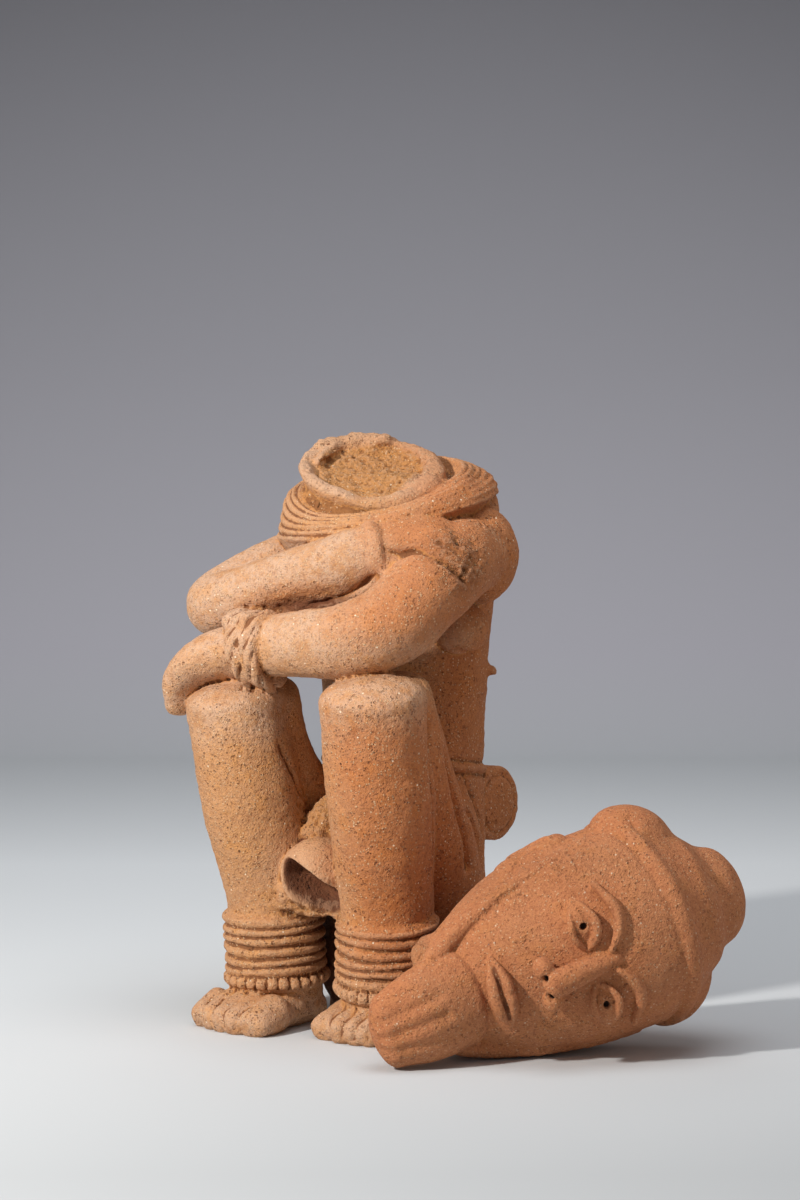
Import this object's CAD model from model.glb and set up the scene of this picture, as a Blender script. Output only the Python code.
# %% [markdown]
# # A broken seated figure of coarse terracotta
#
# A hand-built clay figure squats on a low seat. Its neck is broken through, and its head lies beside its left
# foot. This lesson models both fragments as sculpture: rough volumes first, then carving, then weather.
#
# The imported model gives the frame: where each fragment stands and how large it is. Everything below is
# written in millimetres of the real figure and is fitted to that frame at the end of each fragment.

import math

import bmesh
import bpy
import numpy as np
from mathutils import Matrix, Vector


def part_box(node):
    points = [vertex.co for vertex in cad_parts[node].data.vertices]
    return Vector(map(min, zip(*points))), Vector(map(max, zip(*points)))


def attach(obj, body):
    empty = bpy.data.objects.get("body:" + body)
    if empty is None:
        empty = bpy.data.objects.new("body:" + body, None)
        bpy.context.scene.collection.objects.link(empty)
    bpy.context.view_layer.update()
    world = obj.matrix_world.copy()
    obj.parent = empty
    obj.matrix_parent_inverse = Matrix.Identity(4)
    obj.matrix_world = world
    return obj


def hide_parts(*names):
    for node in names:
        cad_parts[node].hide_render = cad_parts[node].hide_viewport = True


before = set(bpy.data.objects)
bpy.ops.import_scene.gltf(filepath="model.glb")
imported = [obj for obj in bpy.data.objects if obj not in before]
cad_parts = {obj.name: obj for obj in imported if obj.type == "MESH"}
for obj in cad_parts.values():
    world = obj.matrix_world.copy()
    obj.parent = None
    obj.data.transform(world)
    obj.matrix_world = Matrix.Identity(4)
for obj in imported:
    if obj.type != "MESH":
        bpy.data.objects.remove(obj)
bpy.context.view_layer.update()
print("frame holds", sorted(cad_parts))

# %% [markdown]
# ## Sizes that the whole lesson uses
#
# The clay is fused from overlapping volumes on a grid of small cubes. The cubes set how fine the carving
# can be: a little over a millimetre on the body and under a millimetre on the head.

# %% Sizes
MM = 0.001
SEAT_Y = 34.0  # the seat's middle behind the middle of the neck
BODY_GRID = 1.15
HEAD_GRID = 0.85
TRIANGLES = 197_000  # at most, in each fragment
X_AXIS, Y_AXIS, Z_AXIS = np.eye(3)
SIDES = 48  # points around a limb
ROLL_SIDES = 16  # points around a thin roll
STEPS = 10  # points between two knots of a curve
RING_STEPS = 96  # points along a ring
COIL_STEPS = 192  # points along a strand of the coil

# %% [markdown]
# ## Curves and skins
#
# Nearly everything on this figure is a roll of clay: arms, legs, strands, anklets. Each is a profile carried
# along a path, so it is a surface of two parameters, the place along the path and the turn around it.


# %% Smooth curve through a few points
def unit(vector):
    """A vector divided by its own length."""
    vector = np.asarray(vector, float)
    return vector / np.linalg.norm(vector)


def through(knots, steps=STEPS):
    """Rows on a Catmull-Rom curve: each span is the cubic whose slope at a knot is half the step between the
    knot before it and the knot after it."""
    k = np.asarray(knots, float)
    k = np.vstack([2 * k[0] - k[1], k, 2 * k[-1] - k[-2]])
    t = np.linspace(0.0, 1.0, steps, endpoint=False)[:, None]
    spans = [
        0.5 * (2 * b + (c - a) * t + (2 * a - 5 * b + 4 * c - d) * t**2 + (3 * b - a - 3 * c + d) * t**3)
        for a, b, c, d in zip(k, k[1:], k[2:], k[3:])
    ]
    return np.vstack([*spans, k[-2]])


def mirrored(knots, side):
    """The same knots with x times `side`, which is 1 or -1."""
    return [(side * knot[0], *knot[1:]) for knot in knots]


# %% Axes along a path, and the skin over a row of rings
def plane_axes(normal, wide=X_AXIS):
    """Three unit vectors at right angles: the normal, `wide` less its part along the normal, and the cross
    product of the two."""
    normal, wide = unit(normal), np.asarray(wide, float)
    u = unit(wide - normal * (normal @ wide))
    return normal, u, np.cross(normal, u)


def frames(path, wide, closed=False):
    """Tangent, wide axis and deep axis at each point: the wide axis is `wide` less its part along the
    tangent, and the deep axis is the cross product of the two."""
    if closed:
        tangent = np.roll(path, -1, 0) - np.roll(path, 1, 0)
    else:
        tangent = np.gradient(path, axis=0)
    tangent /= np.linalg.norm(tangent, axis=1, keepdims=True)
    wide = np.asarray(wide, float)
    across = wide - tangent * (tangent @ wide)[:, None]
    across /= np.linalg.norm(across, axis=1, keepdims=True)
    return tangent, across, np.cross(tangent, across)


def skin(rings, closed=False):
    """Points and faces of the closed surface over rings of points: quads between neighbours, and a fan to a
    pole over each end unless the last ring joins the first."""
    m, n, _ = rings.shape
    points = rings.reshape(-1, 3)
    i = np.arange(m if closed else m - 1)[:, None]
    j = np.arange(n)[None, :]
    up, right = (i + 1) % m, (j + 1) % n
    quads = np.stack([i * n + j, i * n + right, up * n + right, up * n + j], -1).reshape(-1, 4)
    faces = quads.tolist()
    if closed:
        return points, faces
    points = np.vstack([points, rings[0].mean(0), rings[-1].mean(0)])
    ring = np.arange(n)
    after = (ring + 1) % n
    faces += np.stack([after, ring, np.full(n, m * n)], -1).tolist()
    faces += np.stack([(m - 1) * n + ring, (m - 1) * n + after, np.full(n, m * n + 1)], -1).tolist()
    return points, faces


# %% A limb: an oval profile carried along a curve, with domed ends
def limb(knots, wide=X_AXIS, domes=(1.0, 1.0)):
    """Knots are (x, y, z, half width, half depth). A point is the path plus wide axis x half width x
    cos(turn) plus deep axis x half depth x sin(turn). Each end closes with a quarter circle `domes` times
    as high."""
    rows = through(knots)
    path, half_width, half_depth = rows[:, :3], rows[:, 3], rows[:, 4]
    tangent, across, deep = frames(path, wide)
    rise = np.linspace(math.pi / 2, 0.0, 9, endpoint=False)[1:]

    def dome(end, sign, share):
        centre = path[end] + sign * tangent[end] * (np.sin(rise) * half_depth[end] * share)[:, None]
        axes = np.repeat(across[end][None], len(rise), 0), np.repeat(deep[end][None], len(rise), 0)
        return centre, *axes, half_width[end] * np.cos(rise), half_depth[end] * np.cos(rise)

    first = dome(0, -1, domes[0])
    last = [part[::-1] for part in dome(-1, 1, domes[1])]
    middle = (path, across, deep, half_width, half_depth)
    centre, across, deep, a, b = (np.concatenate(parts) for parts in zip(first, middle, last))
    turn = np.linspace(0.0, 2 * math.pi, SIDES, endpoint=False)
    rings = centre[:, None] + across[:, None] * (a[:, None] * np.cos(turn))[..., None]
    return skin(rings + deep[:, None] * (b[:, None] * np.sin(turn))[..., None])


# %% A ball, a ring and a roll
def ball(centre, radii):
    """An ellipsoid: centre + z radius x sin(rise) + (x radius x cos(turn) + y radius x sin(turn)) x
    cos(rise), each along its own axis."""
    turn = np.linspace(0.0, 2 * math.pi, SIDES, endpoint=False)
    rise = np.linspace(-math.pi / 2, math.pi / 2, 25)[1:-1]
    flat = X_AXIS * (np.cos(turn) * radii[0])[:, None] + Y_AXIS * (np.sin(turn) * radii[1])[:, None]
    height = Z_AXIS * radii[2] * np.sin(rise)[:, None, None]
    return skin(np.asarray(centre, float) + height + flat * np.cos(rise)[:, None, None])


def circle(centre, semi_axes, normal=Z_AXIS, wide=X_AXIS):
    """Points on an ellipse whose plane has this normal: centre + u x a x cos(turn) + v x b x sin(turn)."""
    _, u, v = plane_axes(normal, wide)
    turn = np.linspace(0.0, 2 * math.pi, RING_STEPS, endpoint=False)
    across = np.outer(np.cos(turn) * semi_axes[0], u)
    return np.asarray(centre, float) + across + np.outer(np.sin(turn) * semi_axes[1], v)


def roll(path, radius, wide=Z_AXIS):
    """A round section carried along a closed path."""
    _, across, deep = frames(path, wide, closed=True)
    turn = np.linspace(0.0, 2 * math.pi, ROLL_SIDES, endpoint=False)
    rings = path[:, None] + across[:, None] * (radius * np.cos(turn))[:, None]
    return skin(rings + deep[:, None] * (radius * np.sin(turn))[:, None], closed=True)


# %% A clay tube with a broken, hollow end
def cup(base, rim, normal, radii, wall, depth, broken, shift=(0, 0, 0)):
    """Its outer wall runs from `base` to the rim's slanting plane. A point of the rim is rim + flat ring +
    axis x lift, where lift puts it on the plane, and `broken(turn)` raises and lowers the break. The hollow
    lies `shift` off the middle."""
    base, rim, normal = np.asarray(base, float), np.asarray(rim, float), unit(normal)
    axis, u, v = plane_axes(rim - base)
    turn = np.linspace(0.0, 2 * math.pi, 2 * SIDES, endpoint=False)
    out = np.outer(np.cos(turn), u) + np.outer(np.sin(turn), v)

    def ring(radius, sink, rough):
        inside = np.clip((radii[1] - radius) / wall, 0.0, 1.0)
        flat = out * radius + np.asarray(shift, float) * inside
        lift = -(flat @ normal) / (axis @ normal) - sink + rough * broken(turn)
        return rim + flat + axis * lift[:, None]

    base_radius, rim_radius = radii
    soft = 0.25 * wall
    inner = rim_radius - wall
    rings = [base + out * base_radius, ring(rim_radius, 1.6 * wall, 0.3), ring(rim_radius, soft, 1.0)]
    rings += [ring(rim_radius - soft, 0.0, 1.0), ring(inner + soft, 0.0, 1.0), ring(inner, soft, 1.0)]
    rings += [ring(inner - 0.15 * wall, 0.7 * depth, 0.0), ring(0.6 * inner, depth, 0.0)]
    rings += [ring(0.25 * inner, 0.95 * depth, 0.0)]
    return skin(np.array(rings))


# %% [markdown]
# ## The trunk and the broken neck
#
# The trunk is one thick roll from the seat to the hunched shoulders. The neck above it is a hollow tube that
# broke through, so its wall shows, with hard earth inside. A coil of fine strands lies around it.


# %% Trunk, shoulders and seat
def torso():
    trunk = limb(
        [
            (0, 34, 38, 60, 46),
            (0, 33, 66, 60, 50),
            (0, 32, 92, 54, 49),
            (0, 30, 130, 55, 51),
            (0, 29, 168, 54, 51),
            (0, 30, 215, 56, 51),
            (0, 29, 258, 60, 53),
            (0, 27, 292, 68, 55),
            (0, 27, 315, 70, 54),
            (2, 30, 332, 67, 50),
            (2, 33, 343, 54, 42),
        ],
        domes=(0.5, 0.2),
    )
    seat = [(0, SEAT_Y, -20, 56, 42), (0, SEAT_Y, 10, 56, 42), (0, SEAT_Y, 55, 49, 40)]
    hunch = ball((12, 46, 332), (50, 27, 27))
    shoulders = [ball((62, 25, 303), (25, 27, 32)), ball((-60, 18, 304), (20, 24, 26))]
    breasts = [ball((60, 8, 256), (17, 20, 17)), ball((-50, -2, 264), (14, 14, 17))]
    return [trunk, limb(seat, domes=(0.2, 0.2)), hunch, *shoulders, *breasts]


# %% Neck and coil
NECK_RIM = np.array([-3.0, -4.0, 362.0])
NECK_NORMAL = unit((0.26, -0.37, 0.9))
NECK_RADIUS = 46.5
NECK_WALL = 11.5
COIL_STRANDS = 7


def neck_break(turn):
    """Height of the broken rim: two waves of different lengths, less a worn dip towards the left front."""
    worn = np.exp(-(((turn - 5.35 + math.pi) % (2 * math.pi) - math.pi) / 0.55) ** 2)
    return 1.0 * np.sin(3 * turn + 0.7) + 0.7 * np.sin(7 * turn) + 0.4 * np.sin(13 * turn + 2) - 3.0 * worn


def coil_row(share, lift=0.0, steps=COIL_STEPS):
    """A line around the coil, from its edge at the neck (share 0) to its lower edge (share 1). The section
    is a quarter ellipse. The height of a row is a mean, less two waves that make it sag in front and rise
    behind."""
    slope = share * math.pi / 2
    drop = 1 - math.cos(slope)
    turn = np.linspace(0, 2 * math.pi, steps, endpoint=False)
    from_lowest = turn + math.radians(80 + 40 * drop)
    wave = (18.5 - 1.7 * drop) * np.cos(from_lowest) + 2.5 * (1 - drop) * np.cos(2 * from_lowest)
    wander = 0.6 * np.sin(3 * turn + 9 * share) + 0.4 * np.sin(5 * turn + 7 * share)
    height = 350 - 22.2 * drop - wave + wander * math.cos(slope)
    out = (lift + wander) * math.sin(slope)
    x = (53 + 18 * math.sin(slope) + out) * np.cos(turn)
    y = 4 + 7 * drop + (48 + 20 * math.sin(slope) + out) * np.sin(turn)
    return np.stack([x, y, height + lift * math.cos(slope)], 1)


def coil():
    """One skin over all the strands: between two edges a strand bulges by height x sqrt(1 - (2 f - 1)^2),
    where f is the share of the way from one edge to the next. They stand higher on the left shoulder."""
    shares = np.linspace(0.0, 1.0, COIL_STRANDS * 8 + 1)
    across = (shares * COIL_STRANDS) % 1.0
    height = 2.2 + 0.9 * np.cos(np.linspace(0, 2 * math.pi, COIL_STEPS, endpoint=False) - 0.2)
    bulges = np.outer(np.sqrt(1 - (2 * across - 1) ** 2), height)
    inside = coil_row(0.0) * (0.8, 0.8, 1) - (0, 0, 14)
    below = coil_row(1.0) * (0.85, 0.85, 1) - (0, 0, 14)
    return skin(np.array([inside, *(coil_row(share, bulge) for share, bulge in zip(shares, bulges)), below]))


def neck():
    radii = (NECK_RADIUS - 0.5, NECK_RADIUS)
    shift = (-2.0, -1.4, 0)
    tube = cup((0, 8, 325), NECK_RIM, NECK_NORMAL, radii, NECK_WALL, 9.0, neck_break, shift=shift)
    flap = limb([(-36, -16, 363, 3, 3), (-38, -3, 369, 4, 4), (-38, 9, 374, 3, 3)])
    return [tube, coil(), flap, ball((-15, 29, 377), (6, 5, 5))]


# %% [markdown]
# ## Legs and feet
#
# Each leg is a shin and a thigh folded tight behind it. Seven rings of clay stand for a stack of anklets, the
# lowest one nicked into blocks. The feet are broad slabs whose toes are only parted by scored lines.


# %% Leg with its anklets
ANKLE_RADIUS = 29.5
ANKLET_RINGS = 6
TOP_RING = 9.5  # from the ankle's knot down to the first anklet
RING_PITCH = 6.6
LOWEST_RING = ANKLET_RINGS + 0.1
NOTCHES = 28


def ring_place(ankle, heel, ring):
    """The middle of an anklet, counted down from the top one, and the axis of the shin."""
    ankle = np.array(ankle, float)
    axis = unit(ankle - heel)
    return ankle - axis * (TOP_RING + RING_PITCH * ring), axis


def ring_path(side, ankle, heel, radius, ring):
    """A ring around the shin that wanders up and down by two waves. A number between two whole ones gives
    the groove between two anklets."""
    middle, axis = ring_place(ankle, heel, ring)
    turn = np.linspace(0, 2 * math.pi, RING_STEPS, endpoint=False)
    wander = 0.8 * np.sin(turn + 1.9 * ring + side) + 0.4 * np.sin(3 * turn + ring)
    return circle(middle, (radius, radius), axis) + np.outer(wander, axis)


def leg(side, knee, calf, ankle, heel, knee_radius):
    shin = limb(
        [
            (*knee, knee_radius - 1, knee_radius - 1),
            (*calf, knee_radius - 1, knee_radius),
            (*ankle, ANKLE_RADIUS, ANKLE_RADIUS),
            (*heel, ANKLE_RADIUS, ANKLE_RADIUS),
        ],
        domes=(0.45, 0.2),
    )
    start = np.array(knee, float) + (-side * 2.0, 15, -1)
    thigh = [(54, -50, 174, 29, 31), (51, -32, 145, 29, 32), (47, -6, 108, 29, 32), (42, 15, 76, 27, 28)]
    shapes = [shin, limb([(*start, 30, 30), *mirrored(thigh, side)], domes=(0.45, 0.6))]
    _, axis = ring_place(ankle, heel, 0)
    for ring in range(ANKLET_RINGS):
        shapes.append(roll(ring_path(side, ankle, heel, ANKLE_RADIUS + 0.5, ring), 3.6, axis))
    shapes.append(roll(ring_path(side, ankle, heel, ANKLE_RADIUS + 1.0, LOWEST_RING), 4.8, axis))
    return shapes


# %% Foot
TOE_SHARES = np.array([0.27, 0.2, 0.18, 0.175, 0.175])  # of the foot's width, from the great toe outwards


def foot_axes(turn):
    """Forwards and across, level, for a foot turned this far."""
    return np.array([math.sin(turn), -math.cos(turn), 0.0]), np.array([math.cos(turn), math.sin(turn), 0.0])


def foot(side, ankle, length, half_width, turn):
    """A flat slab with five toes in a row. Toe k reaches the foot's length less a bow that grows with the
    square of its distance from the second toe."""
    ankle = np.array(ankle, float)
    forward, across = foot_axes(turn)
    sole = limb(
        [
            (*(ankle - forward * 16 + (0, 0, 3)), half_width - 5, 15),
            (*(ankle + forward * 10 + (0, 0, 3)), half_width - 2, 16),
            (*(ankle + forward * (length - 30) + (0, 0, 1)), half_width, 13),
            (*(ankle + forward * (length - 22) + (0, 0, 0)), half_width - 1, 10),
        ],
        wide=across,
        domes=(0.8, 0.8),
    )
    shapes = [sole]
    middles = 1.0 - 2.0 * (np.cumsum(TOE_SHARES) - TOE_SHARES / 2)
    for share, middle in zip(TOE_SHARES, middles):
        radius = share * half_width * 1.5
        reach = length - 5 - 5.0 * (middle - 0.4) ** 2
        spread = ankle - side * across * middle * half_width * 0.94
        root = spread + forward * (length - 30) + (0, 0, 3)
        tip = spread + forward * (reach - radius * 0.5) + (0, 0, -1)
        shapes.append(limb([(*root, radius, 12.5), (*tip, radius, 9)], wide=across, domes=(1.0, 0.7)))
    return shapes


# %% [markdown]
# ## Arms
#
# The left forearm lies across both knees and its hand grips the right one. The right forearm crosses above
# it and the hand rests on the left upper arm. On the left wrist sit two bracelets, each of two leaning
# rolls, with a knot on top. They are nicked later, which makes them look twisted.


# %% Left arm, hand and bracelet
def left_arm():
    arm = limb(
        [
            (62, 20, 304, 24, 24),
            (71, -14, 299, 26, 26),
            (67, -44, 281, 26.5, 26.5),
            (58, -67, 262, 26, 26),
            (36, -80, 252, 24, 24),
            (4, -84, 249, 21.5, 21.5),
            (-32, -83, 246, 19, 18),
            (-50, -84, 242, 18, 17),
        ],
        wide=Z_AXIS,
    )
    hand = limb(
        [
            (-46, -84, 243, 19, 16),
            (-62, -87, 240, 20, 16),
            (-77, -90, 234, 20, 14),
            (-89, -91, 222, 17, 11),
            (-93, -88, 208, 13, 8),
        ],
        wide=Y_AXIS,
    )
    shapes = [arm, hand, ball((-43, -87, 261), (14, 11, 9))]
    for across, lean, radius in ((-41, 0.24, 3.3), (-38, 0.02, 3.3), (-28.5, 0.24, 4.0), (-24.5, 0.04, 4.0)):
        path = circle((across, -84, 244), (20.6, 22.4), (1, 0.05, lean), Y_AXIS)
        shapes.append(roll(path, radius, X_AXIS))
    shapes.append(roll(circle((-33, -84, 243), (18, 20), (1, 0.05, 0.14), Y_AXIS), 3.4, X_AXIS))
    lobes = [(-45, -94, 261), (-34, -95, 262), (-40, -97, 254)]
    return shapes + [ball(spot, (8.5, 7.0, 7.0)) for spot in lobes]


# %% Right arm and hand
def right_arm():
    arm = limb(
        [
            (-60, 6, 300, 21, 21),
            (-67, -14, 295, 20, 20),
            (-83, -42, 279, 21, 21),
            (-86, -59, 270, 21, 21),
            (-58, -63, 277, 20, 21),
            (-18, -60, 290, 18.5, 20),
            (16, -56, 299, 20, 20),
            (34, -50, 306, 19, 18),
        ],
        wide=Z_AXIS,
    )
    hand = limb(
        [(30, -51, 305, 19, 16), (48, -42, 312, 19, 15), (66, -26, 311, 20, 14), (77, -8, 301, 18, 12)],
        wide=(0.35, -0.6, -0.5),
    )
    palm = limb(
        [(50, -48, 313, 13, 8.5), (62, -41, 314, 14, 9), (74, -36, 311, 14, 9), (85, -30, 303, 14, 7)],
        wide=(0.2, -0.75, -0.62),
        domes=(0.6, 0.6),
    )
    ridge = limb([(35, -59, 321, 6, 5), (41, -62, 314, 7, 6), (44, -63, 304, 6.5, 6), (47, -59, 294, 4.5, 5)])
    fill = [(-52, -64, 266, 9, 9), (-15, -60, 273, 10, 10), (18, -57, 282, 11, 10), (36, -51, 290, 9, 9)]
    return [arm, hand, palm, ridge, limb(fill, wide=Z_AXIS)]


# %% [markdown]
# ## Sheath, belt and roll
#
# Between the shins stands a rounded hood that an oval mouth will pierce. Its root is heaped with earth. At
# the back a roll with nearly flat ends lies across the small of the back, and a stump marks where something
# has broken off above it.


# %% Sheath and waist
SHEATH_MOUTH = np.array([3.0, -79.0, 92.0])
SHEATH_OVAL = (21.0, 12.0)
SHEATH_INWARDS = unit((-0.25, 0.86, 0.44))
SHEATH_LONG = unit((0.63, 0.44, -0.64))  # the long way of its mouth


def sheath():
    hood = ball((-1, -63, 101), (23.5, 27, 23.5))
    root = limb([(0, 4, 122, 30, 24), (-2, -22, 128, 24, 20), (-4, -40, 118, 22, 20)], domes=(0.5, 0.5))
    heap = limb([(-14, -50, 122, 13, 12), (-8, -45, 136, 11, 11), (-3, -40, 146, 7, 8)])
    ledge = limb([(-28, -60, 77, 10, 5), (20, -60, 79, 10, 5)], wide=Y_AXIS)
    return [hood, root, heap, ledge, ball((-23, -66, 90), (9, 11, 18)), ball((-10, -6, 44), (34, 15, 46))]


def belt_path(grow=0.0, lift=0.0):
    """An ellipse around the waist, tipped a little forwards."""
    return circle((0, 29.5, 164 + lift), (53 + grow, 50.5 + grow), (0, 0.12, 1))


def waist():
    belt = roll(belt_path(), 3.0)
    across = limb([(-45, 73, 137, 25, 25), (45, 73, 136, 25, 25)], wide=Y_AXIS, domes=(0.16, 0.16))
    stump = limb([(44, 49, 229, 9, 12), (50, 58, 226, 3, 4)], wide=Z_AXIS)
    return [belt, across, stump]


LEGS = [
    dict(side=1, knee=(54, -82, 216), calf=(52, -70, 152), ankle=(45, -54, 82), heel=(42, -48, 18)),
    dict(side=-1, knee=(-55, -79, 210), calf=(-51, -68, 146), ankle=(-46, -53, 80), heel=(-45, -49, 18)),
]
LEGS[0]["knee_radius"], LEGS[1]["knee_radius"] = 34.5, 33.5
FEET = [
    dict(side=1, ankle=(43, -48, 8), length=48, half_width=30, turn=math.radians(-6)),
    dict(side=-1, ankle=(-45, -50, 8), length=60, half_width=32, turn=math.radians(-4)),
]


def body_shapes():
    shapes = torso() + neck() + sheath() + waist() + left_arm() + right_arm()
    for place in LEGS:
        shapes += leg(**place)
    for place in FEET:
        shapes += foot(**place)
    return shapes


# %% [markdown]
# ## The head
#
# It is built upright, facing -Y with the chin at z = 0, and laid down later. The cap has three soft lobes and
# a low band, the beard hangs straight, and the face is plain and calm, in everyday proportions.


# %% Skull, cap, beard and face
def stub_break(turn):
    """The ragged edge where the head broke off: two waves of different lengths."""
    return 1.6 * np.sin(3 * turn + 0.7) + 1.0 * np.sin(7 * turn)


def head_shapes():
    skull = limb(
        [
            (0, -2, 14, 36, 32),
            (0, 0, 40, 50, 43),
            (0, 4, 72, 59, 54),
            (0, 4, 106, 62, 58),
            (0, 5, 140, 60, 58),
            (0, 8, 164, 45, 46),
        ],
        domes=(0.5, 0.4),
    )
    stub = cup((0, 0, 40), (0, 3, -1), (0.05, 0.25, -0.96), (33, 34), 11.0, 12.0, stub_break)
    beard = limb([(0, -20, 12, 30, 24), (0, -32, -12, 28, 20), (0, -37, -33, 23, 14)], domes=(0.6, 0.8))
    crown = limb([(0, 8, 150, 51, 47), (2, 9, 168, 42, 40), (3, 10, 181, 31, 31)], domes=(0.5, 0.7))
    lobe = [(24, 8, 126, 42, 41), (38, 9, 139, 36, 34), (45, 9, 144, 28, 27)]
    lobes = [limb(mirrored(lobe, s), domes=(0.5, 0.85)) for s in (-1, 1)]
    nape = ball((0, 44, 122), (34, 24, 34))
    return [skull, stub, beard, crown, *lobes, nape, roll(band_path(58.5), 6.2), *face_shapes()]


def band_path(radius, lift=0.0):
    """The cap's raised edge: an ellipse around the head, high over the forehead and low at the nape."""
    return circle((0, 5, 134 + lift), (radius, radius - 3), (0, 0.36, 1))


def face_shapes():
    """Lids, brows, ears and the strip of beard along the jaw on both sides, then nose and lips."""
    upper_lid = [(10, -51, 92, 1.5, 2), (17, -55, 99, 2.4, 3), (25, -55, 101, 2.6, 3)]
    upper_lid += [(33, -50, 98, 2.4, 3), (39, -44, 92, 1.5, 2)]
    lower_lid = [(11, -51, 91, 1.5, 2), (18, -54, 86.5, 2, 2.5), (26, -53, 86, 2, 2.5), (37, -46, 90, 1.5, 2)]
    brow = [(7, -55, 106, 2, 3), (16, -54, 113, 3.2, 4), (28, -51, 115, 3.2, 4), (43, -42, 108, 2, 3)]
    jaw = [(57, -8, 112, 5, 6), (54, -12, 84, 5, 7), (48, -15, 54, 5, 7)]
    jaw += [(37, -18, 24, 6, 7), (28, -22, 6, 6, 7)]
    shapes = []
    for s in (-1, 1):
        shapes.append(ball((s * 24.5, -45, 93.5), (14, 9, 8.5)))
        shapes.append(limb(mirrored([(56, 5, 68, 5, 11), (60, 8, 94, 5, 13)], s)))
        shapes.append(ball((s * 10, -56, 63), (7, 8, 6.5)))
        shapes += [limb(mirrored(knots, s), wide=Z_AXIS) for knots in (upper_lid, lower_lid, brow)]
        shapes.append(limb(mirrored(jaw, s)))
    shapes.append(limb([(0, -52, 106, 5, 5), (0, -57, 82, 7, 7), (0, -60, 67, 8.5, 8)]))
    upper = [(-21, -38, 37, 1.2, 2), (-12, -44, 39.5, 3, 4)]
    upper += [(-4, -47, 40.8, 3.4, 4.5), (0, -46.5, 40, 3.2, 4.5)]
    lower = [(-19, -38, 35.5, 1.2, 2), (-10, -44, 33, 3.6, 4.5), (0, -46, 32, 4.2, 5)]
    for half in (upper, lower):
        shapes.append(limb(half + mirrored(half[:-1][::-1], -1), wide=Z_AXIS))
    return shapes


# %% [markdown]
# ## From volumes to one skin
#
# Wet clay fuses where rolls are pressed together. A voxel remesh does the same: it keeps only the outside of
# all the overlapping volumes, on an even grid, which then has room for carving at every point.


# %% Fuse
def add_object(name, data):
    """A new object in the scene."""
    made = bpy.data.objects.new(name, data)
    bpy.context.scene.collection.objects.link(made)
    return made


def modified(name, mesh, kind, **settings):
    """The mesh as one modifier leaves it."""
    holder = add_object(name, mesh)
    modifier = holder.modifiers.new(name, kind)
    for setting, value in settings.items():
        setattr(modifier, setting, value)
    graph = bpy.context.evaluated_depsgraph_get()
    made = bpy.data.meshes.new_from_object(holder.evaluated_get(graph), depsgraph=graph)
    bpy.data.objects.remove(holder)
    return made


def fuse(name, shapes, grid):
    """Joins all the volumes and keeps only their outside, on a grid of this size."""
    points, faces, count = [], [], 0
    for shape_points, shape_faces in shapes:
        points.append(shape_points)
        faces.extend([[index + count for index in face] for face in shape_faces])
        count += len(shape_points)
    mesh = bpy.data.meshes.new(name)
    mesh.from_pydata(np.vstack(points).tolist(), [], faces)
    fused = modified(name, mesh, "REMESH", mode="VOXEL", voxel_size=grid)
    bpy.data.meshes.remove(mesh)
    print(name, "fused:", len(fused.vertices), "points")
    return fused


# %% [markdown]
# ## Tools for carving
#
# `Clay` holds the skin as arrays while it is worked. A scored line pushes each point inwards along its
# normal, by a depth that falls off as a bell curve with the distance to the line. A raised roll is the same,
# outwards.


# %% Arrays of the skin
def nearest_on(points, path):
    """For each point: the distance to a path of straight steps, and how far along it (0 to 1) that is. On a
    step from a to b the nearest place is a + t (b - a), with t = (p - a).(b - a) / |b - a|^2 kept in 0..1."""
    near = np.full(len(points), np.inf)
    along = np.zeros(len(points))
    for i, (a, b) in enumerate(zip(path[:-1], path[1:])):
        step = b - a
        t = np.clip((points - a) @ step / (step @ step), 0.0, 1.0)
        distance = np.linalg.norm(points - a - t[:, None] * step, axis=1)
        closer = distance < near
        near[closer] = distance[closer]
        along[closer] = (i + t[closer]) / (len(path) - 1)
    return near, along


def read_vectors(items, name):
    """One vector for each item of a mesh, as the rows of an array."""
    flat = np.empty(len(items) * 3, np.float32)
    items.foreach_get(name, flat)
    return flat.reshape(-1, 3).astype(float)


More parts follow.
